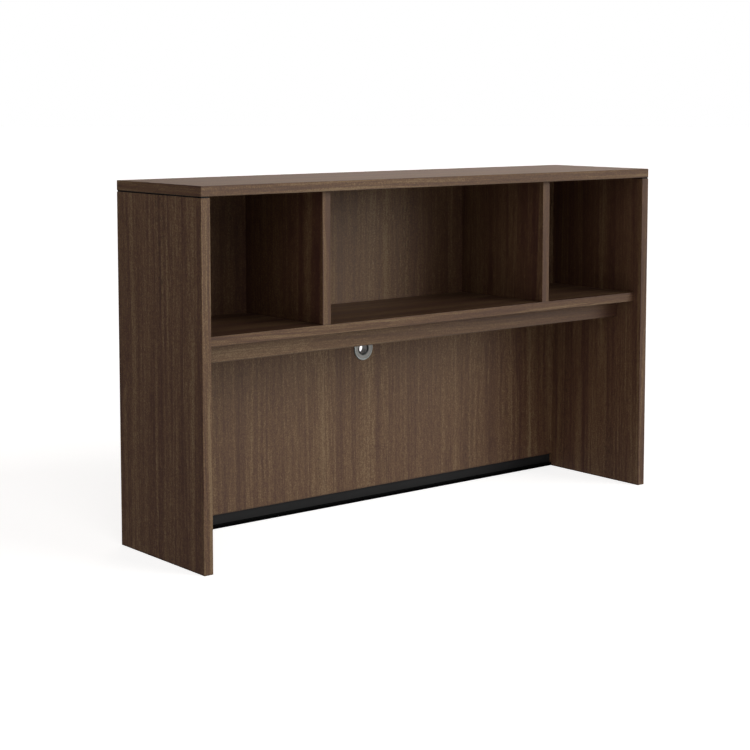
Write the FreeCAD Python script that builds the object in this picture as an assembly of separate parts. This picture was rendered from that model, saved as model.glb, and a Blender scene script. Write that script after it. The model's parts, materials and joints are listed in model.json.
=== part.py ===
"""Desk hutch: an open three-bay shelf unit that stands on the rear of a desk.

Millimetres, +Z up. The front faces -Y and +X is to the right of a person who
sits at the desk. The origin is on the desk surface, under the middle of the
hutch's overall box.
"""

import FreeCAD, Part
import os

# Overall size.
WIDTH = 1524.0
DEPTH = 372.0
HEIGHT = 914.0

# Boards and the edging glued to them.
BOARD = 25.0
BACK_BOARD = 18.0
VALANCE_BOARD = 19.0
THICK_EDGING = 2.0
THIN_EDGING = 1.0
THICK_EDGING_ROUND = 1.0
THIN_EDGING_ROUND = 0.4

# Dark strip that makes a shadow line between the top and each end panel.
REVEAL_HEIGHT = 3.0
REVEAL_INSET = 1.5

# Shelf, dividers, valance and back.
SHELF_TOP = 559.0
SHELF_SETBACK = 25.0
CENTRE_BAY_WIDTH = 732.0
VALANCE_DROP = 50.0
VALANCE_SETBACK = 91.0
BACK_INSET = 2.0
BACK_BOTTOM = 37.0

# Folded steel rail that closes the gap under the back panel.
RAIL_SHEET = 1.5
RAIL_WEB_RECESS = 8.5
RAIL_LIP_HEIGHT = 9.5
RAIL_OUTER_BEND = 2.0
RAIL_INNER_BEND = 0.5

# Pan-head screws that hold the rail to the back panel's lower edge.
RAIL_SCREW_COUNT = 7
RAIL_SCREW_END_MARGIN = 60.0
RAIL_SCREW_RADIUS = 1.7
RAIL_SCREW_LENGTH = 16.0
RAIL_SCREW_HEAD_RADIUS = 3.0
RAIL_SCREW_HEAD_HEIGHT = 2.0
RAIL_SCREW_HEAD_ROUND = 0.9
RAIL_SCREW_SLOT_WIDTH = 0.8
RAIL_SCREW_SLOT_LENGTH = 3.4
RAIL_SCREW_SLOT_DEPTH = 1.1

# Cable grommet in the back panel.
GROMMET_HEIGHT = 428.0
GROMMET_BORE_RADIUS = 13.0
GROMMET_TUBE_WALL = 2.5
GROMMET_FLANGE_RADIUS = 32.0
GROMMET_FLANGE_THICKNESS = 3.0
GROMMET_RIM_ROUND = 1.4
GROMMET_DISH_RADIUS = 28.5
GROMMET_DISH_DEPTH = 0.8
GROMMET_DISH_ROUND = 0.4
GROMMET_MOUTH_RADIUS = 18.3
GROMMET_MOUTH_DEPTH = 2.0
COLLAR_OUTER_RADIUS = 24.0
COLLAR_ROUND = 0.6

# Glued hardwood dowels.
DOWEL_RADIUS = 4.0
DOWEL_LENGTH = 35.0
DOWEL_CHAMFER = 1.0
DOWEL_END_SPACE = 1.0
DOWEL_DEPTH_IN_BOARD = 12.0
DOWEL_DEPTH_IN_BACK = 9.0
DOWEL_DEPTH_IN_TOP = 15.0

# Threaded inserts in the feet of the end panels, for bolts through the desk.
INSERT_RADIUS = 5.0
INSERT_BORE_RADIUS = 2.5
INSERT_LENGTH = 15.0
INSERT_SPACING = 240.0

# Play between a fastener and its drilled hole, on the radius.
HOLE_PLAY = 0.05

X_AXIS = FreeCAD.Vector(1, 0, 0)
Y_AXIS = FreeCAD.Vector(0, 1, 0)
Z_AXIS = FreeCAD.Vector(0, 0, 1)

# Planes of the carcass.
OUTER_X = WIDTH / 2
INNER_X = OUTER_X - BOARD
END_MIDDLE_X = OUTER_X - BOARD / 2
DIVIDER_MIDDLE_X = (CENTRE_BAY_WIDTH + BOARD) / 2
FRONT_Y = -DEPTH / 2
REAR_Y = DEPTH / 2
SHELF_FRONT_Y = FRONT_Y + SHELF_SETBACK
VALANCE_FRONT_Y = FRONT_Y + VALANCE_SETBACK
BACK_REAR_Y = REAR_Y - BACK_INSET
BACK_FRONT_Y = BACK_REAR_Y - BACK_BOARD
BACK_MIDDLE_Y = BACK_REAR_Y - BACK_BOARD / 2
TOP_UNDERSIDE = HEIGHT - BOARD
END_TOP = TOP_UNDERSIDE - REVEAL_HEIGHT
SHELF_UNDERSIDE = SHELF_TOP - BOARD
SHELF_MIDDLE_Z = SHELF_TOP - BOARD / 2
VALANCE_BOTTOM = SHELF_UNDERSIDE - VALANCE_DROP
VALANCE_MIDDLE_Y = VALANCE_FRONT_Y + VALANCE_BOARD / 2
RAIL_WEB_Y = BACK_FRONT_Y + RAIL_WEB_RECESS
RAIL_WEB_REAR_Y = RAIL_WEB_Y + RAIL_SHEET
RAIL_SCREW_Y = (RAIL_WEB_REAR_Y + BACK_REAR_Y) / 2
GROMMET_TUBE_RADIUS = GROMMET_BORE_RADIUS + GROMMET_TUBE_WALL
GROMMET_FRONT_Y = BACK_FRONT_Y - GROMMET_FLANGE_THICKNESS


def block(x_range, y_range, z_range):
    """A box between two limits on each axis."""
    low = FreeCAD.Vector(x_range[0], y_range[0], z_range[0])
    high = FreeCAD.Vector(x_range[1], y_range[1], z_range[1])
    size = high - low
    return Part.makeBox(size.x, size.y, size.z, low)


def spread(count, reach):
    """Evenly spaced places from -reach to +reach."""
    step = 2 * reach / (count - 1)
    return [-reach + step * index for index in range(count)]


def is_parallel(edge, axis):
    """True if a straight edge runs along an axis."""
    return abs(edge.tangentAt(edge.FirstParameter).dot(axis)) > 0.5


def outer_edges(strip, outward):
    """The edges of an edging strip's outer face."""
    reach = max(vertex.Point.dot(outward) for vertex in strip.Vertexes)
    return [edge for edge in strip.Edges if reach - edge.CenterOfMass.dot(outward) < 0.001]


def round_along(strip, outward, along, radius):
    """Round the two edges of an edging strip's outer face that run along the strip."""
    edges = [edge for edge in outer_edges(strip, outward) if is_parallel(edge, along)]
    return strip.makeFillet(radius, edges)


def round_all_round(strip, outward, radius):
    """Round an edging strip everywhere but on the face that is glued to its board."""
    glued = outer_edges(strip, outward * -1)
    edges = [edge for edge in strip.Edges if not any(edge.isSame(other) for other in glued)]
    return strip.makeFillet(radius, edges)


def centred_cylinder(centre, axis, radius, length):
    """A cylinder whose middle is at a point."""
    return Part.makeCylinder(radius, length, centre - axis * (length / 2), axis)


def dowel(centre, axis):
    """A hardwood dowel with chamfered ends."""
    peg = centred_cylinder(centre, axis, DOWEL_RADIUS - HOLE_PLAY, DOWEL_LENGTH)
    rims = [edge for edge in peg.Edges if edge.Curve.TypeId == "Part::GeomCircle"]
    return peg.makeChamfer(DOWEL_CHAMFER, rims)


def dowel_hole(centre, axis):
    """The drilled space around a dowel, with glue room at both ends."""
    return centred_cylinder(centre, axis, DOWEL_RADIUS, DOWEL_LENGTH + 2 * DOWEL_END_SPACE)


def end_dowels(depths, height):
    """Dowels along X that enter both end panels at one height."""
    offset = DOWEL_LENGTH / 2 - DOWEL_DEPTH_IN_BOARD
    places = []
    for side in (-1, 1):
        for y in depths:
            places.append((FreeCAD.Vector(side * (INNER_X - offset), y, height), X_AXIS))
    return places


def upright_dowels(columns, depths, face, depth_above):
    """Dowels along Z that cross a level face and enter the board above it by a given depth."""
    middle = face + depth_above - DOWEL_LENGTH / 2
    places = []
    for x in columns:
        for y in depths:
            places.append((FreeCAD.Vector(x, y, middle), Z_AXIS))
    return places


def top_joint():
    """Dowels between the end panels and the top, through the reveal strips."""
    columns = (-END_MIDDLE_X, END_MIDDLE_X)
    return upright_dowels(columns, spread(4, 150.0), TOP_UNDERSIDE, DOWEL_DEPTH_IN_TOP)


def shelf_joint():
    """Dowels between the shelf and the end panels, and between the shelf and the back."""
    places = end_dowels((-125.0, 0.0, 125.0), SHELF_MIDDLE_Z)
    middle = BACK_FRONT_Y + DOWEL_DEPTH_IN_BACK - DOWEL_LENGTH / 2
    for x in spread(4, 560.0):
        places.append((FreeCAD.Vector(x, middle, SHELF_MIDDLE_Z), Y_AXIS))
    return places


def divider_joint():
    """Dowels at the foot and the head of both dividers."""
    columns = (-DIVIDER_MIDDLE_X, DIVIDER_MIDDLE_X)
    depths = spread(3, 110.0)
    foot = upright_dowels(columns, depths, SHELF_TOP, DOWEL_LENGTH - DOWEL_DEPTH_IN_BOARD)
    head = upright_dowels(columns, depths, TOP_UNDERSIDE, DOWEL_DEPTH_IN_BOARD)
    return foot + head


def valance_joint():
    """Dowels between the valance, the shelf above it and the end panels."""
    middle_height = VALANCE_BOTTOM + VALANCE_DROP / 2
    into_ends = end_dowels((VALANCE_MIDDLE_Y,), middle_height)
    columns = spread(4, 600.0)
    into_shelf = upright_dowels(columns, (VALANCE_MIDDLE_Y,), SHELF_UNDERSIDE, DOWEL_DEPTH_IN_BOARD)
    return into_ends + into_shelf


def back_joint():
    """Dowels between the back panel, the end panels and the top."""
    places = []
    for height in (120.0, 300.0, 480.0, 660.0, 820.0):
        places += end_dowels((BACK_MIDDLE_Y,), height)
    columns = spread(4, 560.0)
    return places + upright_dowels(columns, (BACK_MIDDLE_Y,), TOP_UNDERSIDE, DOWEL_DEPTH_IN_BOARD)


JOINTS = {
    "top_dowels": top_joint(),
    "shelf_dowels": shelf_joint(),
    "divider_dowels": divider_joint(),
    "valance_dowels": valance_joint(),
    "back_panel_dowels": back_joint(),
}


def all_dowel_holes():
    """Every dowel hole of the carcass, as one tool."""
    return Part.makeCompound([dowel_hole(*place) for places in JOINTS.values() for place in places])


def insert_places():
    """Centres of the threaded inserts, on the desk plane."""
    return [
        FreeCAD.Vector(x, y, 0)
        for x in (-END_MIDDLE_X, END_MIDDLE_X)
        for y in (-INSERT_SPACING / 2, INSERT_SPACING / 2)
    ]


def insert_holes():
    """Holes for the threaded inserts in the feet of the end panels."""
    depth = INSERT_LENGTH + DOWEL_END_SPACE
    holes = [Part.makeCylinder(INSERT_RADIUS + HOLE_PLAY, depth, place) for place in insert_places()]
    return Part.makeCompound(holes)


def desk_inserts():
    """Threaded inserts, flush with the bottom of the end panels."""
    bodies = []
    for place in insert_places():
        shell = Part.makeCylinder(INSERT_RADIUS, INSERT_LENGTH, place)
        bore = Part.makeCylinder(INSERT_BORE_RADIUS, INSERT_LENGTH, place)
        bodies.append(shell.cut(bore))
    return Part.makeCompound(bodies)


def rail_screw_places():
    """Where the rail's screws meet the lower edge of the back panel."""
    reach = INNER_X - RAIL_SCREW_END_MARGIN
    return [FreeCAD.Vector(x, RAIL_SCREW_Y, BACK_BOTTOM) for x in spread(RAIL_SCREW_COUNT, reach)]


def rail_screw(place):
    """A pan-head screw with a cross recess, driven upwards through the rail's flange."""
    seat = place - Z_AXIS * RAIL_SHEET
    head_bottom = seat - Z_AXIS * RAIL_SCREW_HEAD_HEIGHT
    head = Part.makeCylinder(RAIL_SCREW_HEAD_RADIUS, RAIL_SCREW_HEAD_HEIGHT, head_bottom)
    rim = [
        edge
        for edge in head.Edges
        if edge.Curve.TypeId == "Part::GeomCircle" and abs(edge.CenterOfMass.z - head_bottom.z) < 0.001
    ]
    head = head.makeFillet(RAIL_SCREW_HEAD_ROUND, rim)
    half_length = RAIL_SCREW_SLOT_LENGTH / 2
    half_width = RAIL_SCREW_SLOT_WIDTH / 2
    heights = (head_bottom.z, head_bottom.z + RAIL_SCREW_SLOT_DEPTH)
    for half_x, half_y in ((half_length, half_width), (half_width, half_length)):
        x_range = (place.x - half_x, place.x + half_x)
        y_range = (place.y - half_y, place.y + half_y)
        head = head.cut(block(x_range, y_range, heights))
    shank = Part.makeCylinder(RAIL_SCREW_RADIUS, RAIL_SCREW_LENGTH, seat)
    return head.fuse(shank).removeSplitter()


def rail_screws():
    """All the screws of the bottom rail."""
    return Part.makeCompound([rail_screw(place) for place in rail_screw_places()])


def rail_screw_holes():
    """Holes for the rail's screws, through the flange and into the back panel."""
    radius = RAIL_SCREW_RADIUS + HOLE_PLAY
    length = RAIL_SCREW_LENGTH + DOWEL_END_SPACE
    starts = [place - Z_AXIS * RAIL_SHEET for place in rail_screw_places()]
    return Part.makeCompound([Part.makeCylinder(radius, length, start) for start in starts])


def top_panel():
    """The top board, inside its four edgings."""
    side_x = OUTER_X - THICK_EDGING
    front_y = FRONT_Y + THICK_EDGING
    return block((-side_x, side_x), (front_y, -front_y), (TOP_UNDERSIDE, HEIGHT))


def top_long_band(side):
    """Edging on the top's front (-1) or rear (+1) edge, over its whole width."""
    depths = sorted((side * REAR_Y, side * (REAR_Y - THICK_EDGING)))
    strip = block((-OUTER_X, OUTER_X), depths, (TOP_UNDERSIDE, HEIGHT))
    return round_all_round(strip, Y_AXIS * side, THICK_EDGING_ROUND)


def top_side_band(side):
    """Edging on the top's left (-1) or right (+1) edge, between the long ones."""
    widths = sorted((side * OUTER_X, side * (OUTER_X - THICK_EDGING)))
    reach = REAR_Y - THICK_EDGING
    strip = block(widths, (-reach, reach), (TOP_UNDERSIDE, HEIGHT))
    return round_along(strip, X_AXIS * side, Y_AXIS, THICK_EDGING_ROUND)


def end_range(side):
    """The limits in X of an end panel."""
    return sorted((side * INNER_X, side * OUTER_X))


def end_panel(side):
    """An end board, inside its front, rear and bottom edgings."""
    reach = REAR_Y - THICK_EDGING
    board = block(end_range(side), (-reach, reach), (THIN_EDGING, END_TOP))
    return board.cut(all_dowel_holes()).cut(insert_holes())


def end_upright_band(side, front_or_rear):
    """Edging up the front (-1) or rear (+1) edge of an end panel."""
    depths = sorted((front_or_rear * REAR_Y, front_or_rear * (REAR_Y - THICK_EDGING)))
    strip = block(end_range(side), depths, (0, END_TOP))
    return round_along(strip, Y_AXIS * front_or_rear, Z_AXIS, THICK_EDGING_ROUND)


def end_bottom_band(side):
    """Thin edging that seals the foot of an end panel."""
    reach = REAR_Y - THICK_EDGING
    strip = block(end_range(side), (-reach, reach), (0, THIN_EDGING))
    strip = round_along(strip, Z_AXIS * -1, Y_AXIS, THIN_EDGING_ROUND)
    return strip.cut(insert_holes())


def reveal_strip(side):
    """Dark spacer between an end panel and the top."""
    inner = INNER_X + REVEAL_INSET
    outer = OUTER_X - REVEAL_INSET
    reach = REAR_Y - REVEAL_INSET
    strip = block(sorted((side * inner, side * outer)), (-reach, reach), (END_TOP, TOP_UNDERSIDE))
    return strip.cut(all_dowel_holes())


def shelf():
    """The shelf board, behind its front edging."""
    front = SHELF_FRONT_Y + THICK_EDGING
    board = block((-INNER_X, INNER_X), (front, BACK_FRONT_Y), (SHELF_UNDERSIDE, SHELF_TOP))
    return board.cut(all_dowel_holes())


def shelf_front_band():
    """Edging on the front of the shelf."""
    depths = (SHELF_FRONT_Y, SHELF_FRONT_Y + THICK_EDGING)
    strip = block((-INNER_X, INNER_X), depths, (SHELF_UNDERSIDE, SHELF_TOP))
    return round_along(strip, Y_AXIS * -1, X_AXIS, THICK_EDGING_ROUND)


def divider_range(side):
    """The limits in X of a divider."""
    middle = side * DIVIDER_MIDDLE_X
    return (middle - BOARD / 2, middle + BOARD / 2)


def divider(side):
    """An upright between two bays, behind its front edging."""
    depths = (SHELF_FRONT_Y + THICK_EDGING, BACK_FRONT_Y)
    board = block(divider_range(side), depths, (SHELF_TOP, TOP_UNDERSIDE))
    return board.cut(all_dowel_holes())


def divider_front_band(side):
    """Edging on the front of a divider."""
    depths = (SHELF_FRONT_Y, SHELF_FRONT_Y + THICK_EDGING)
    strip = block(divider_range(side), depths, (SHELF_TOP, TOP_UNDERSIDE))
    return round_along(strip, Y_AXIS * -1, Z_AXIS, THICK_EDGING_ROUND)


def valance():
    """The rail that hangs under the shelf and hides a task light."""
    depths = (VALANCE_FRONT_Y, VALANCE_FRONT_Y + VALANCE_BOARD)
    heights = (VALANCE_BOTTOM + THIN_EDGING, SHELF_UNDERSIDE)
    board = block((-INNER_X, INNER_X), depths, heights)
    return board.cut(all_dowel_holes())


def valance_bottom_band():
    """Thin edging under the valance."""
    depths = (VALANCE_FRONT_Y, VALANCE_FRONT_Y + VALANCE_BOARD)
    strip = block((-INNER_X, INNER_X), depths, (VALANCE_BOTTOM, VALANCE_BOTTOM + THIN_EDGING))
    return round_along(strip, Z_AXIS * -1, X_AXIS, THIN_EDGING_ROUND)


def back_panel():
    """The back board, with its drilled grommet hole."""
    heights = (BACK_BOTTOM + THIN_EDGING, TOP_UNDERSIDE)
    board = block((-INNER_X, INNER_X), (BACK_FRONT_Y, BACK_REAR_Y), heights)
    centre = FreeCAD.Vector(0, BACK_MIDDLE_Y, GROMMET_HEIGHT)
    radius = GROMMET_TUBE_RADIUS + HOLE_PLAY
    grommet_hole = centred_cylinder(centre, Y_AXIS, radius, 2 * BACK_BOARD)
    return board.cut(grommet_hole).cut(all_dowel_holes()).cut(rail_screw_holes())


def back_panel_bottom_band():
    """Thin edging under the back panel."""
    heights = (BACK_BOTTOM, BACK_BOTTOM + THIN_EDGING)
    strip = block((-INNER_X, INNER_X), (BACK_FRONT_Y, BACK_REAR_Y), heights)
    strip = round_along(strip, Z_AXIS * -1, X_AXIS, THIN_EDGING_ROUND)
    return strip.cut(rail_screw_holes())


def edges_at(shape, corners):
    """The edges along X that pass through given (y, z) corners."""
    found = []
    for edge in shape.Edges:
        middle = edge.CenterOfMass
        near = any(abs(middle.y - y) + abs(middle.z - z) < 0.001 for y, z in corners)
        if near and is_parallel(edge, X_AXIS):
            found.append(edge)
    return found


def bottom_rail():
    """Folded steel rail: front lip, foot flange, web and the flange under the back panel."""
    lip_y = BACK_FRONT_Y
    top = BACK_BOTTOM
    outer_bends = [(lip_y, 0), (RAIL_WEB_REAR_Y, 0), (RAIL_WEB_Y, top)]
    inner_bends = [
        (lip_y + RAIL_SHEET, RAIL_SHEET),
        (RAIL_WEB_Y, RAIL_SHEET),
        (RAIL_WEB_REAR_Y, top - RAIL_SHEET),
    ]
    outline = [
        outer_bends[0],
        outer_bends[1],
        inner_bends[2],
        (BACK_REAR_Y, top - RAIL_SHEET),
        (BACK_REAR_Y, top),
        outer_bends[2],
        inner_bends[1],
        inner_bends[0],
        (lip_y + RAIL_SHEET, RAIL_LIP_HEIGHT),
        (lip_y, RAIL_LIP_HEIGHT),
    ]
    points = [FreeCAD.Vector(-INNER_X, y, z) for y, z in outline]
    section = Part.Face(Part.makePolygon(points + points[:1]))
    rail = section.extrude(X_AXIS * (2 * INNER_X))
    rail = rail.makeFillet(RAIL_OUTER_BEND, edges_at(rail, outer_bends))
    rail = rail.makeFillet(RAIL_INNER_BEND, edges_at(rail, inner_bends))
    return rail.cut(rail_screw_holes())


def turned(outline):
    """Turn a closed outline of (radius, y) points about the grommet's axis."""
    centre = FreeCAD.Vector(0, 0, GROMMET_HEIGHT)
    points = [FreeCAD.Vector(radius, y, GROMMET_HEIGHT) for radius, y in outline]
    face = Part.Face(Part.makePolygon(points + points[:1]))
    return face.revolve(centre, Y_AXIS, 360)


def circles_at(shape, radius, y):
    """The circular edges of a turned shape at a radius and a depth."""
    return [
        edge
        for edge in shape.Edges
        if edge.Curve.TypeId == "Part::GeomCircle"
        and abs(edge.Curve.Radius - radius) < 0.001
        and abs(edge.Curve.Center.y - y) < 0.001
    ]


def grommet_bezel():
    """The grommet's dished flange and its tube, with a funnel mouth on the desk side."""
    dish_y = GROMMET_FRONT_Y + GROMMET_DISH_DEPTH
    body = turned([
        (GROMMET_BORE_RADIUS, dish_y + GROMMET_MOUTH_DEPTH),
        (GROMMET_MOUTH_RADIUS, dish_y),
        (GROMMET_DISH_RADIUS, dish_y),
        (GROMMET_DISH_RADIUS, GROMMET_FRONT_Y),
        (GROMMET_FLANGE_RADIUS, GROMMET_FRONT_Y),
        (GROMMET_FLANGE_RADIUS, BACK_FRONT_Y),
        (GROMMET_TUBE_RADIUS, BACK_FRONT_Y),
        (GROMMET_TUBE_RADIUS, REAR_Y),
        (GROMMET_BORE_RADIUS, REAR_Y),
    ])
    body = body.makeFillet(GROMMET_RIM_ROUND, circles_at(body, GROMMET_FLANGE_RADIUS, GROMMET_FRONT_Y))
    return body.makeFillet(GROMMET_DISH_ROUND, circles_at(body, GROMMET_DISH_RADIUS, GROMMET_FRONT_Y))


def grommet_rear_collar():
    """Ring pressed on the grommet's tube behind the back panel."""
    inner = GROMMET_TUBE_RADIUS + HOLE_PLAY
    ring = turned([
        (inner, BACK_REAR_Y),
        (COLLAR_OUTER_RADIUS, BACK_REAR_Y),
        (COLLAR_OUTER_RADIUS, REAR_Y),
        (inner, REAR_Y),
    ])
    return ring.makeFillet(COLLAR_ROUND, circles_at(ring, COLLAR_OUTER_RADIUS, REAR_Y))


def carcass_pieces():
    """The boards, their edgings and the reveal strips."""
    pieces = {
        "top_panel": top_panel().cut(all_dowel_holes()),
        "top_front_band": top_long_band(-1),
        "top_rear_band": top_long_band(1),
        "shelf": shelf(),
        "shelf_front_band": shelf_front_band(),
        "valance": valance(),
        "valance_bottom_band": valance_bottom_band(),
        "back_panel": back_panel(),
        "back_panel_bottom_band": back_panel_bottom_band(),
    }
    for name, side in (("left", -1), ("right", 1)):
        pieces[f"top_{name}_band"] = top_side_band(side)
        pieces[f"{name}_end_panel"] = end_panel(side)
        pieces[f"{name}_end_front_band"] = end_upright_band(side, -1)
        pieces[f"{name}_end_rear_band"] = end_upright_band(side, 1)
        pieces[f"{name}_end_bottom_band"] = end_bottom_band(side)
        pieces[f"{name}_reveal_strip"] = reveal_strip(side)
        pieces[f"{name}_divider"] = divider(side)
        pieces[f"{name}_divider_front_band"] = divider_front_band(side)
    return pieces


def hardware_pieces():
    """The steel rail, the grommet and the fasteners."""
    pieces = {
        "bottom_rail": bottom_rail(),
        "bottom_rail_screws": rail_screws(),
        "grommet_bezel": grommet_bezel(),
        "grommet_rear_collar": grommet_rear_collar(),
        "desk_inserts": desk_inserts(),
    }
    for name, places in JOINTS.items():
        pieces[name] = Part.makeCompound([dowel(*place) for place in places])
    return pieces


def main():
    """Write one STEP file for each piece."""
    os.makedirs("parts", exist_ok=True)
    pieces = {**carcass_pieces(), **hardware_pieces()}
    for name, shape in pieces.items():
        if not shape.isValid():
            raise RuntimeError(f"{name} is not a valid shape")
        shape.exportStep(f"parts/{name}.step")
        size = shape.BoundBox
        print(f"{name}: {len(shape.Solids)} solid(s), {size.XLength:.1f} x {size.YLength:.1f} x {size.ZLength:.1f}")


main()
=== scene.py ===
import json
import math
import random

import bmesh
import bpy
from mathutils import Euler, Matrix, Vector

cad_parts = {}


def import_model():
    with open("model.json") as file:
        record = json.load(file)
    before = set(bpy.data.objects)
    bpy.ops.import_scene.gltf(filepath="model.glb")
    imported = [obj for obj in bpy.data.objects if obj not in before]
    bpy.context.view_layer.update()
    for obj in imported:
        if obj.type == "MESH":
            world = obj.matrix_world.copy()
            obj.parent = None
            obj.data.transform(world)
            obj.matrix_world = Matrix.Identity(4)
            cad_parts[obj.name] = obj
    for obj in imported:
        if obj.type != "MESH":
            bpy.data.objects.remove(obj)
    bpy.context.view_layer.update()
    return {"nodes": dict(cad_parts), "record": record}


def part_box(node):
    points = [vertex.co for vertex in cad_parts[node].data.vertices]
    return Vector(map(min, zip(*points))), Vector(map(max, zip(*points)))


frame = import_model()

RIGHT_ANGLE = 90.0
AXES = range(3)
UP = 2
WHITE = (1.0, 1.0, 1.0)
ORIGIN = (0.0, 0.0, 0.0)

# Camera: three-quarter view from the front left, a little above the top. Angles are in degrees.
# A larger shift would make the uprights quite parallel, but would cut the hutch off in other views.
CAMERA_PLACE = (-2.952, -3.485, 1.117)
CAMERA_HEADING = 39.36
CAMERA_TILT_DOWN = 5.49
CAMERA_LENS = 82.6
CAMERA_SHIFT_Y = -0.15

# Studio. The floor glows, which keeps it white and lights the hutch from below.
FLOOR_RADIUS = 60.0
FLOOR_SEGMENTS = 96
FLOOR_COLOUR = (0.8, 0.8, 0.8)
FLOOR_ROUGHNESS = 0.9
FLOOR_GLOW = 0.77
AMBIENT_STRENGTH = 0.1
AMBIENT_COLOUR = (1.0, 0.93, 0.87)

# Suns: name, azimuth, elevation, strength, spread and colour. Azimuth 0 is in front of the hutch
# and 90 on its right.
SUNS = (
    ("key", 35.0, 17.5, 1.76, 42.0, (1.0, 0.99, 0.95)),
    ("fill", -26.0, 33.0, 0.62, 45.0, WHITE),
    ("side", -70.0, 12.0, 0.22, 40.0, WHITE),
    ("rim", 132.0, 8.0, 0.61, 40.0, (1.0, 0.80, 0.69)),
)

# A Mix node has a set of sockets for each type of data. These are its colour ones.
MIX_SHARE, MIX_A, MIX_B = 0, 6, 7
MIX_RESULT = 2

# Noise runs from 0 to 1 but mostly keeps to these ranges, which are stretched to drive a setting.
NOISE_MIDDLE = 0.5
NOISE_CORE = (0.3, 0.7)
NOISE_WIDE = (0.25, 0.75)

# Edges are found by comparing the rounded normal with the true one, or by its tilt downwards.
BEVEL_SAMPLES = 4
FLAT_TO_EDGE_COSINES = (0.99, 0.8)
LEVEL_TO_DOWNWARD_NORMAL_Z = (-0.08, -0.4)

# Boards whose grain stands upright. On the others it runs along the longest side.
UPRIGHT_BOARDS = ("back_panel", "left_end_panel", "right_end_panel", "left_divider", "right_divider")

# Walnut decor. Every board is cut from its own place in an endless sheet, this many metres away.
SHEET_OFFSETS = (3.0, 30.0)
# Patterns of the decor, in cycles per metre along the grain, across it and through the board.
SWAY = (0.8, 4.0, 1.0)
RIPPLE = (18.0, 60.0, 10.0)
STREAKS = (0.35, 27.0, 6.0)
FINE_LINES = (1.2, 130.0, 30.0)
FIBRES = (40.0, 330.0, 90.0)
CHATTER = (330.0, 380.0, 80.0)
GROWTH = (0.8, 12.0, 3.0)
PORE_DASHES = (22.0, 900.0, 600.0)
PORE_ROWS = (1.1, 17.0, 5.0)
PORE_TICKS = (95.0, 190.0, 60.0)
# How far the grain wanders sideways, in metres.
SWAY_WIDTH = 0.06
RIPPLE_WIDTH = 0.003
# Roughness of the octaves in the two line patterns.
STREAK_OCTAVES = 0.65
FINE_OCTAVES = 0.7
# The tone goes from dark (0) to light (1), with each pattern's share in it.
MIDDLE_TONE = 0.52
STREAK_SHARE = 1.1
FINE_SHARE = 1.2
FIBRE_SHARE = 0.7
CHATTER_SHARE = 1.0
# Growth lines are dark on one side and fade to the other: (place in the line, darkness).
GROWTH_LINE_COUNT = 9.0
GROWTH_LINE_PROFILE = ((0.0, 1.0), (0.10, 0.75), (0.45, 0.15), (1.0, 0.0))
GROWTH_LINE_DARKNESS = 0.16
# Pores show where their noise is in these ranges, and cover the colour by these shares.
DASH_RANGE = (0.64, 0.76)
DASH_COVER = 0.35
ROW_RANGE = (0.66, 0.70)
TICK_RANGE = (0.56, 0.68)
TICK_COVER = 0.6

WALNUT_TONES = (
    (0.05, (0.0385, 0.0126, 0.0096)),
    (0.35, (0.0590, 0.0240, 0.0135)),
    (0.65, (0.0895, 0.0455, 0.0205)),
    (0.95, (0.1340, 0.0850, 0.0435)),
)
WALNUT_PORE = (0.019, 0.0080, 0.0040)
# Edges that hands rub are paler. A narrow strip along edges that face down is darker, as a
# painted contact shadow.
WALNUT_WORN = (0.16, 0.095, 0.055)
WORN_RADIUS = 0.0015
WORN_COVER = (0.0, 0.2)
WALNUT_PAINTED_EDGE_SHADE = (0.010, 0.0036, 0.0018)
EDGE_SHADE_RADIUS = 0.004
EDGE_SHADE_COVER = 0.85
WALNUT_SHEEN = (1.0, 0.80, 0.62)
WALNUT_SPECULAR = 0.74
WALNUT_ROUGHNESS = (0.46, 0.58)
FIBRE_HEIGHT = 0.5
WALNUT_RELIEF = 0.0001
WALNUT_RELIEF_STRENGTH = 0.6

# Tone added to single pieces, mostly painted light and shade: it makes up for what this studio's
# light gives a piece too much or too little of, and darkens the bottom bands as a painted contact
# shadow.
BOARD_PAINTED_LIGHT = {
    "left_end_front_band": 0.34,
    "top_front_band": 0.28,
    "right_end_front_band": -0.18,
    "right_divider_front_band": 0.08,
    "left_divider": -0.08,
    "shelf": -0.06,
    # Bottom bands: painted contact shadow along their lower edge.
    "left_end_bottom_band": -0.5,
    "right_end_bottom_band": -0.5,
    "valance_bottom_band": -0.3,
    "back_panel_bottom_band": -0.3,
}
# Strength of the lines and of the flecks, as usual on boards and on edging, and on single pieces.
BOARD_FIGURE = (1.0, 1.0)
EDGING_FIGURE = (1.8, 0.9)
PIECE_FIGURE = {
    "valance": (1.2, 0.7),
    "shelf": (1.5, 1.1),
    "left_end_panel": (1.08, 0.95),
    "right_end_panel": (1.12, 1.0),
    "right_divider": (1.2, 1.1),
    "right_end_front_band": (2.2, 1.1),
}

# Black plastic of the reveal strips. Fine and coarse patterns are in cycles per metre.
PLASTIC_GRAIN = 900.0
PLASTIC_CLOUD = 30.0
PLASTIC_DARK = (0.0020, 0.0026, 0.0034)
PLASTIC_LIGHT = (0.0036, 0.0044, 0.0056)
PLASTIC_ROUGHNESS = (0.5, 0.68)
PLASTIC_SPECULAR = 0.2
PLASTIC_RELIEF = 0.00005

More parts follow.
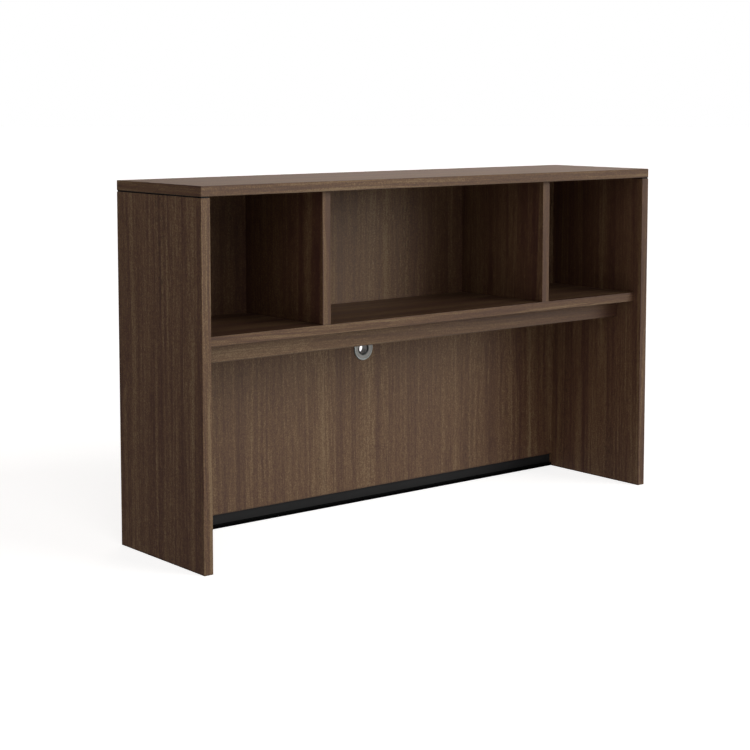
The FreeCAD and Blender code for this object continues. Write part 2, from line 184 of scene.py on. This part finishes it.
# Black powder coat of the rail, and the top of the rail's front lip, in metres.
COAT_PEEL = 700.0
COAT_CLOUD = (12.0, 12.0, 60.0)
COAT_DARK = (0.0075, 0.0075, 0.0083)
COAT_LIGHT = (0.0105, 0.0105, 0.0115)
COAT_ROUGHNESS = (0.5, 0.66)
COAT_RELIEF = 0.00008
COAT_RUBBED = (0.04, 0.04, 0.043)
RUBBED_RADIUS = 0.001
RUBBED_RANGE = (0.35, 0.65)
RUBBED_COVER = (0.05, 0.3)
LIP_TOP = 0.0095
LIP_BLUR = 0.0005
LIP_COLOUR = (0.0006, 0.0006, 0.0007)
LIP_TO_WEB_SPECULAR = (0.02, 0.22)

# Turned metals.
TOOL_MARKS = (2600.0, 1.0, 1.0)
TOOL_MARK_RELIEF = 0.00003
TARNISH_CLOUD = 120.0
TARNISH_RANGE = (0.35, 0.7)
METAL_ROUGHNESS = 0.3
ROUGHNESS_SPREAD = 0.12
ZINC = (0.62, 0.64, 0.67)
ZINC_DULL = (0.5, 0.51, 0.53)
BRASS = (0.72, 0.5, 0.2)
BRASS_DULL = (0.55, 0.38, 0.16)
NICKEL = (0.46, 0.46, 0.45)
NICKEL_DULL = (0.32, 0.32, 0.31)
NICKEL_ROUGHNESS = 0.32

# The grommet's face, from its axis (0) to its rim (1): barrel, funnel mouth, dish and rim.
# Its colours paint light and shade: the pale barrel, made less metallic, is a painted reflection, the
# dark mouth is painted shade, and the pale bluish rim is a painted highlight.
BARREL_TO_MOUTH = (0.40, 0.42)
GROMMET_PAINTED_LIGHT = (
    (0.40, (0.700, 0.700, 0.710)),
    (0.42, (0.095, 0.100, 0.100)),
    (0.56, (0.100, 0.106, 0.106)),
    (0.60, (0.290, 0.288, 0.280)),
    (0.87, (0.290, 0.290, 0.284)),
    (0.90, (0.470, 0.510, 0.515)),
)
GROMMET_METALLIC = (0.35, 1.0)
SMOKE = (0.1, 0.1, 0.1)
SMOKE_RANGE = (0.3, 0.75)
SMOKE_COVER = (0.0, 0.25)

# Beech of the dowels.
BEECH_FLECK = 300.0
BEECH_DARK = (0.42, 0.27, 0.14)
BEECH_LIGHT = (0.60, 0.42, 0.24)
BEECH_ROUGHNESS = (0.55, 0.75)
BEECH_RELIEF = 0.0001


def opaque(colour):
    """A colour with its alpha."""
    return (*colour, 1.0)


class Tree:
    """A material's node tree, with short calls for the nodes that the finishes share."""

    def __init__(self, name):
        self.material = bpy.data.materials.new(name)
        self.material.use_nodes = True
        self.nodes = self.material.node_tree.nodes
        self.links = self.material.node_tree.links
        self.nodes.clear()

    def set(self, socket, value):
        """Gives an input socket either a link or a constant. Constant colours are plain triples."""
        if isinstance(value, bpy.types.NodeSocket):
            self.links.new(value, socket)
        elif socket.type == "RGBA":
            socket.default_value = opaque(value)
        else:
            socket.default_value = value

    def add(self, kind, inputs=None, **settings):
        """A shader node with its inputs, by name or index, and its settings."""
        node = self.nodes.new("ShaderNode" + kind)
        for name, value in settings.items():
            setattr(node, name, value)
        for key, value in (inputs or {}).items():
            self.set(node.inputs[key], value)
        return node

    def math(self, operation, a, b=0.0, c=0.0):
        return self.add("Math", {0: a, 1: b, 2: c}, operation=operation).outputs[0]

    def product(self, a, b):
        return self.math("MULTIPLY", a, b)

    def vector(self, operation, a, b):
        return self.add("VectorMath", {0: a, 1: b}, operation=operation).outputs[0]

    def noise(self, where, frequency, detail=2.0, roughness=0.5):
        """Smooth noise from 0 to 1, with its own frequency per metre along each axis."""
        stretched = self.vector("MULTIPLY", where, frequency)
        inputs = {"Vector": stretched, "Scale": 1.0, "Detail": detail, "Roughness": roughness}
        return self.add("TexNoise", inputs).outputs[0]

    def even_noise(self, frequency, detail):
        """Noise with one frequency along all three axes of the row frame."""
        return self.noise(self.place(), (frequency,) * 3, detail=detail)

    def ramp(self, value, stops):
        """A colour ramp through (place, colour) stops."""
        node = self.add("ValToRGB", {"Fac": value})
        elements = node.color_ramp.elements
        for element, (place, colour) in ((elements[0], stops[0]), (elements[1], stops[-1])):
            element.position = place
            element.color = opaque(colour)
        for place, colour in stops[1:-1]:
            elements.new(place).color = opaque(colour)
        return node.outputs[0]

    def blotches(self, value, dark, light):
        """Two colours that follow a noise."""
        low, high = NOISE_CORE
        return self.ramp(value, ((low, dark), (high, light)))

    def band(self, value, low, high, out_low=0.0, out_high=1.0):
        """Value scaled from low..high to out_low..out_high, and held at the ends."""
        inputs = {
            "Value": value,
            "From Min": low,
            "From Max": high,
            "To Min": out_low,
            "To Max": out_high,
        }
        return self.add("MapRange", inputs).outputs[0]

    def mix(self, share, a, b):
        """Colour a with this share of colour b over it."""
        node = self.add("Mix", data_type="RGBA")
        for index, value in ((MIX_SHARE, share), (MIX_A, a), (MIX_B, b)):
            self.set(node.inputs[index], value)
        return node.outputs[MIX_RESULT]

    def place(self):
        """The point's place in the row frame, in metres."""
        return self.add("TexCoord").outputs["Object"]

    def height(self, vector):
        return self.add("SeparateXYZ", {0: vector}).outputs["Z"]

    def rounded_normal(self, radius):
        return self.add("Bevel", {"Radius": radius}, samples=BEVEL_SAMPLES).outputs[0]

    def edge(self, radius):
        """About 0 on flat stretches and 1 along convex edges."""
        inputs = {0: self.rounded_normal(radius), 1: self.add("NewGeometry").outputs["True Normal"]}
        closeness = self.add("VectorMath", inputs, operation="DOT_PRODUCT").outputs["Value"]
        return self.band(closeness, *FLAT_TO_EDGE_COSINES)

    def lower_edge(self, radius):
        """1 along the edges that point down, and 0 elsewhere."""
        return self.band(self.height(self.rounded_normal(radius)), *LEVEL_TO_DOWNWARD_NORMAL_Z)

    def bump(self, height, depth, strength=1.0):
        inputs = {"Height": height, "Distance": depth, "Strength": strength}
        return self.add("Bump", inputs).outputs[0]

    def surface(self, **sockets):
        """The shader and output. Socket names are given with underscores for spaces."""
        inputs = {name.replace("_", " "): value for name, value in sockets.items()}
        shader = self.add("BsdfPrincipled", inputs)
        self.add("OutputMaterial", {"Surface": shader.outputs[0]})
        return self.material


def grain_axes(node):
    """Indices of the axes along the grain, across it and through the board."""
    low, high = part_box(node)
    size = high - low
    through = min(AXES, key=lambda i: size[i])
    faces = [i for i in AXES if i != through]
    along = UP if node in UPRIGHT_BOARDS else max(faces, key=lambda i: size[i])
    across = next(i for i in faces if i != along)
    return along, across, through


def grain_space(t, node):
    """Place in the sheet of laminate: X along the grain, Y across it, Z through it."""
    parts = t.add("SeparateXYZ", {0: t.place()}).outputs
    inputs = {i: parts[axis] for i, axis in enumerate(grain_axes(node))}
    turned = t.add("CombineXYZ", inputs).outputs[0]
    cut = random.Random(node)
    return t.vector("ADD", turned, tuple(cut.uniform(*SHEET_OFFSETS) for _ in AXES))


def wandering(t, sheet):
    """The sheet with its grain bent sideways, in long sways and short ripples."""
    sway = t.math("MULTIPLY_ADD", t.noise(sheet, SWAY), SWAY_WIDTH, -SWAY_WIDTH / 2)
    ripple = t.math("MULTIPLY_ADD", t.noise(sheet, RIPPLE), RIPPLE_WIDTH, -RIPPLE_WIDTH / 2)
    bend = t.add("CombineXYZ", {"Y": t.math("ADD", sway, ripple)}).outputs[0]
    return t.vector("ADD", sheet, bend)


def growth_lines(t, sheet):
    """Contour lines of a smooth noise, from 0 between them to 1 at their dark side."""
    rings = t.math("FRACT", t.product(t.noise(sheet, GROWTH, detail=1.0), GROWTH_LINE_COUNT))
    profile = [(place, (darkness,) * 3) for place, darkness in GROWTH_LINE_PROFILE]
    return t.ramp(rings, profile)


def walnut_pores(t, sheet):
    """Long faint dashes everywhere, and rows of short dark ticks here and there."""
    dashes = t.band(t.noise(sheet, PORE_DASHES, detail=0.0), *DASH_RANGE)
    rows = t.band(t.noise(sheet, PORE_ROWS, detail=1.0), *ROW_RANGE)
    ticks = t.band(t.noise(sheet, PORE_TICKS, detail=1.0), *TICK_RANGE)
    marked = t.product(t.product(rows, ticks), TICK_COVER)
    return t.math("MAXIMUM", t.product(dashes, DASH_COVER), marked)


def walnut(node, figure=BOARD_FIGURE):
    """Satin walnut-grain laminate: streaks, growth lines, fibres, chatter and pores."""
    t = Tree("walnut_" + node)
    lining, speckle = PIECE_FIGURE.get(node, figure)
    sheet = wandering(t, grain_space(t, node))
    streaks = t.noise(sheet, STREAKS, roughness=STREAK_OCTAVES)
    fine = t.noise(sheet, FINE_LINES, roughness=FINE_OCTAVES)
    fibre = t.noise(sheet, FIBRES, detail=1.0)
    chatter = t.noise(sheet, CHATTER, detail=0.0)

    darkening = -GROWTH_LINE_DARKNESS * lining
    # The piece's painted light and shade shifts its tone here.
    base_tone = MIDDLE_TONE + BOARD_PAINTED_LIGHT.get(node, 0.0)
    tone = t.math("MULTIPLY_ADD", growth_lines(t, sheet), darkening, base_tone)
    shares = (
        (streaks, STREAK_SHARE * lining),
        (fine, FINE_SHARE * lining),
        (fibre, FIBRE_SHARE * speckle),
        (chatter, CHATTER_SHARE * speckle),
    )
    for value, share in shares:
        tone = t.math("MULTIPLY_ADD", t.math("SUBTRACT", value, NOISE_MIDDLE), share, tone)

    pores = walnut_pores(t, sheet)
    worn = t.product(t.edge(WORN_RADIUS), t.band(chatter, *NOISE_CORE, *WORN_COVER))
    # Painted contact shadow: a dark strip along the edges that face down.
    painted_edge_shade = t.product(t.lower_edge(EDGE_SHADE_RADIUS), EDGE_SHADE_COVER)
    colour = t.ramp(tone, WALNUT_TONES)
    for cover, mark in ((pores, WALNUT_PORE), (worn, WALNUT_WORN), (painted_edge_shade, WALNUT_PAINTED_EDGE_SHADE)):
        colour = t.mix(cover, colour, mark)

    relief = t.math("SUBTRACT", t.product(fibre, FIBRE_HEIGHT), pores)
    return t.surface(
        Base_Color=colour,
        Roughness=t.band(fine, *NOISE_WIDE, *WALNUT_ROUGHNESS),
        Specular_IOR_Level=WALNUT_SPECULAR,
        Specular_Tint=WALNUT_SHEEN,
        Normal=t.bump(relief, WALNUT_RELIEF, WALNUT_RELIEF_STRENGTH),
    )


def walnut_edging(node):
    """The same decor on a narrow strip, where its lines show more strongly."""
    return walnut(node, EDGING_FIGURE)


def black_plastic(node):
    """Finely grained dark plastic."""
    t = Tree("black_plastic_" + node)
    grain = t.even_noise(PLASTIC_GRAIN, detail=2.0)
    cloud = t.even_noise(PLASTIC_CLOUD, detail=3.0)
    return t.surface(
        Base_Color=t.blotches(cloud, PLASTIC_DARK, PLASTIC_LIGHT),
        Roughness=t.band(grain, *NOISE_CORE, *PLASTIC_ROUGHNESS),
        Specular_IOR_Level=PLASTIC_SPECULAR,
        Normal=t.bump(grain, PLASTIC_RELIEF),
    )


def powder_coat(node):
    """Textured black powder coat, near black and almost without gloss on the low front lip, and
    rubbed a little at the bends.
    """
    t = Tree("powder_coat_" + node)
    peel = t.even_noise(COAT_PEEL, detail=2.0)
    cloud = t.noise(t.place(), COAT_CLOUD, detail=4.0)
    above_lip = t.band(t.height(t.place()), LIP_TOP - LIP_BLUR, LIP_TOP + LIP_BLUR)
    rubbed = t.product(t.edge(RUBBED_RADIUS), t.band(cloud, *RUBBED_RANGE, *RUBBED_COVER))
    coat = t.mix(rubbed, t.blotches(cloud, COAT_DARK, COAT_LIGHT), COAT_RUBBED)
    return t.surface(
        Base_Color=t.mix(above_lip, LIP_COLOUR, coat),
        Roughness=t.band(peel, *NOISE_CORE, *COAT_ROUGHNESS),
        Specular_IOR_Level=t.band(above_lip, 0.0, 1.0, *LIP_TO_WEB_SPECULAR),
        Normal=t.bump(peel, COAT_RELIEF),
    )


def lathe_radius(t, axis_point):
    """Distance from a Y axis through a point."""
    centred = t.vector("SUBTRACT", t.place(), axis_point)
    flat = t.vector("MULTIPLY", centred, (1.0, 0.0, 1.0))
    return t.add("VectorMath", {0: flat}, operation="LENGTH").outputs["Value"]


def tool_marks(t, radius):
    """Fine rings left by turning."""
    return t.noise(t.add("CombineXYZ", {"X": radius}).outputs[0], TOOL_MARKS)


def turned_metal(name, colour, dull, axis_point=ORIGIN, roughness=METAL_ROUGHNESS):
    """Metal turned on a lathe about a Y axis, with fine circular tool marks."""
    t = Tree(name)
    marks = tool_marks(t, lathe_radius(t, axis_point))
    cloud = t.even_noise(TARNISH_CLOUD, detail=3.0)
    return t.surface(
        Base_Color=t.mix(t.band(cloud, *TARNISH_RANGE), colour, dull),
        Metallic=1.0,
        Roughness=t.band(marks, *NOISE_CORE, roughness, roughness + ROUGHNESS_SPREAD),
        Normal=t.bump(marks, TOOL_MARK_RELIEF),
    )


def zinc(node):
    return turned_metal("zinc_" + node, ZINC, ZINC_DULL)


def brass(node):
    return turned_metal("brass_" + node, BRASS, BRASS_DULL)


def nickel_smoke_and_painted_light(node):
    """Satin nickel with painted light: a painted highlight on the grommet's rim, a painted reflection
    in its barrel, greyer in its dish, painted shade in its mouth.
    """
    low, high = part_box("grommet_bezel")
    centre = tuple((low + high) / 2)
    if node == "grommet_rear_collar":
        return turned_metal("nickel_" + node, NICKEL, NICKEL_DULL, centre, NICKEL_ROUGHNESS)
    t = Tree("nickel_smoke_and_painted_light_" + node)
    radius = lathe_radius(t, centre)
    marks = tool_marks(t, radius)
    cloud = t.even_noise(TARNISH_CLOUD, detail=3.0)
    reach = t.math("DIVIDE", radius, (high.x - low.x) / 2)
    smoke = t.band(cloud, *SMOKE_RANGE, *SMOKE_COVER)
    return t.surface(
        # Painted light on the face: highlight on the rim, reflection in the barrel, shade in the
        # mouth.
        Base_Color=t.mix(smoke, t.ramp(reach, GROMMET_PAINTED_LIGHT), SMOKE),
        Metallic=t.band(reach, *BARREL_TO_MOUTH, *GROMMET_METALLIC),
        Roughness=t.band(marks, *NOISE_CORE, METAL_ROUGHNESS, METAL_ROUGHNESS + ROUGHNESS_SPREAD),
        Normal=t.bump(marks, TOOL_MARK_RELIEF),
    )


def beech(node):
    """Bare wood of the dowels."""
    t = Tree("beech_" + node)
    fleck = t.even_noise(BEECH_FLECK, detail=3.0)
    return t.surface(
        Base_Color=t.blotches(fleck, BEECH_DARK, BEECH_LIGHT),
        Roughness=t.band(fleck, *NOISE_CORE, *BEECH_ROUGHNESS),
        Normal=t.bump(fleck, BEECH_RELIEF),
    )


# The finish for each material slot of the record.
FINISHES = {
    "walnut_laminate": walnut,
    "walnut_edging": walnut_edging,
    "reveal_plastic": black_plastic,
    "rail_steel": powder_coat,
    "zinc_steel": zinc,
    "grommet_metal": nickel_smoke_and_painted_light,
    "insert_brass": brass,
    "beech": beech,
}


def dress(record):
    """Gives every piece its finish."""
    for row in record["subparts"]:
        node = row["node"]
        slots = frame["nodes"][node].data.materials
        slots.clear()
        slots.append(FINISHES[row["material_slot"]](node))


def place_in_scene(name, data):
    piece = bpy.data.objects.new(name, data)
    bpy.context.scene.collection.objects.link(piece)
    return piece


def aim(piece, below_horizon, heading):
    """Points a sun or camera, by degrees below the horizon and anticlockwise from straight back."""
    tilt = math.radians(RIGHT_ANGLE - below_horizon)
    piece.rotation_euler = Euler((tilt, 0.0, math.radians(heading)))


def floor():
    """A wide glowing disc, left out of reflections so that it doesn't glare in the hutch's gloss."""
    mesh = bpy.data.meshes.new("floor")
    shape = bmesh.new()
    bmesh.ops.create_circle(shape, cap_ends=True, segments=FLOOR_SEGMENTS, radius=FLOOR_RADIUS)
    shape.to_mesh(mesh)
    shape.free()
    piece = place_in_scene("floor", mesh)
    paint = Tree("floor_paint").surface(
        Base_Color=FLOOR_COLOUR,
        Roughness=FLOOR_ROUGHNESS,
        Emission_Color=WHITE,
        Emission_Strength=FLOOR_GLOW,
    )
    mesh.materials.append(paint)
    piece.visible_glossy = False


def sun(name, azimuth, elevation, strength, spread, colour):
    """A distant soft light."""
    lamp = bpy.data.lights.new(name, "SUN")
    lamp.energy = strength
    lamp.angle = math.radians(spread)
    lamp.color = colour
    aim(place_in_scene(name, lamp), elevation, azimuth)


def world():
    """White to the camera, and a dim even light on everything else."""
    scene = bpy.context.scene
    scene.world = bpy.data.worlds.new("studio")
    scene.world.use_nodes = True
    nodes = scene.world.node_tree.nodes
    links = scene.world.node_tree.links
    nodes.clear()
    seen = nodes.new("ShaderNodeBackground")
    seen.inputs["Color"].default_value = opaque(WHITE)
    lit = nodes.new("ShaderNodeBackground")
    lit.inputs["Color"].default_value = opaque(AMBIENT_COLOUR)
    lit.inputs["Strength"].default_value = AMBIENT_STRENGTH
    ray = nodes.new("ShaderNodeLightPath")
    mix = nodes.new("ShaderNodeMixShader")
    out = nodes.new("ShaderNodeOutputWorld")
    links.new(ray.outputs["Is Camera Ray"], mix.inputs[0])
    links.new(lit.outputs[0], mix.inputs[1])
    links.new(seen.outputs[0], mix.inputs[2])
    links.new(mix.outputs[0], out.inputs[0])


def camera():
    data = bpy.data.cameras.new("camera")
    data.lens = CAMERA_LENS
    data.shift_y = CAMERA_SHIFT_Y
    piece = place_in_scene("camera", data)
    piece.location = CAMERA_PLACE
    aim(piece, CAMERA_TILT_DOWN, -CAMERA_HEADING)
    bpy.context.scene.camera = piece


dress(frame["record"])
floor()
for settings in SUNS:
    sun(*settings)
world()
camera()
bpy.context.scene.view_settings.view_transform = "Standard"
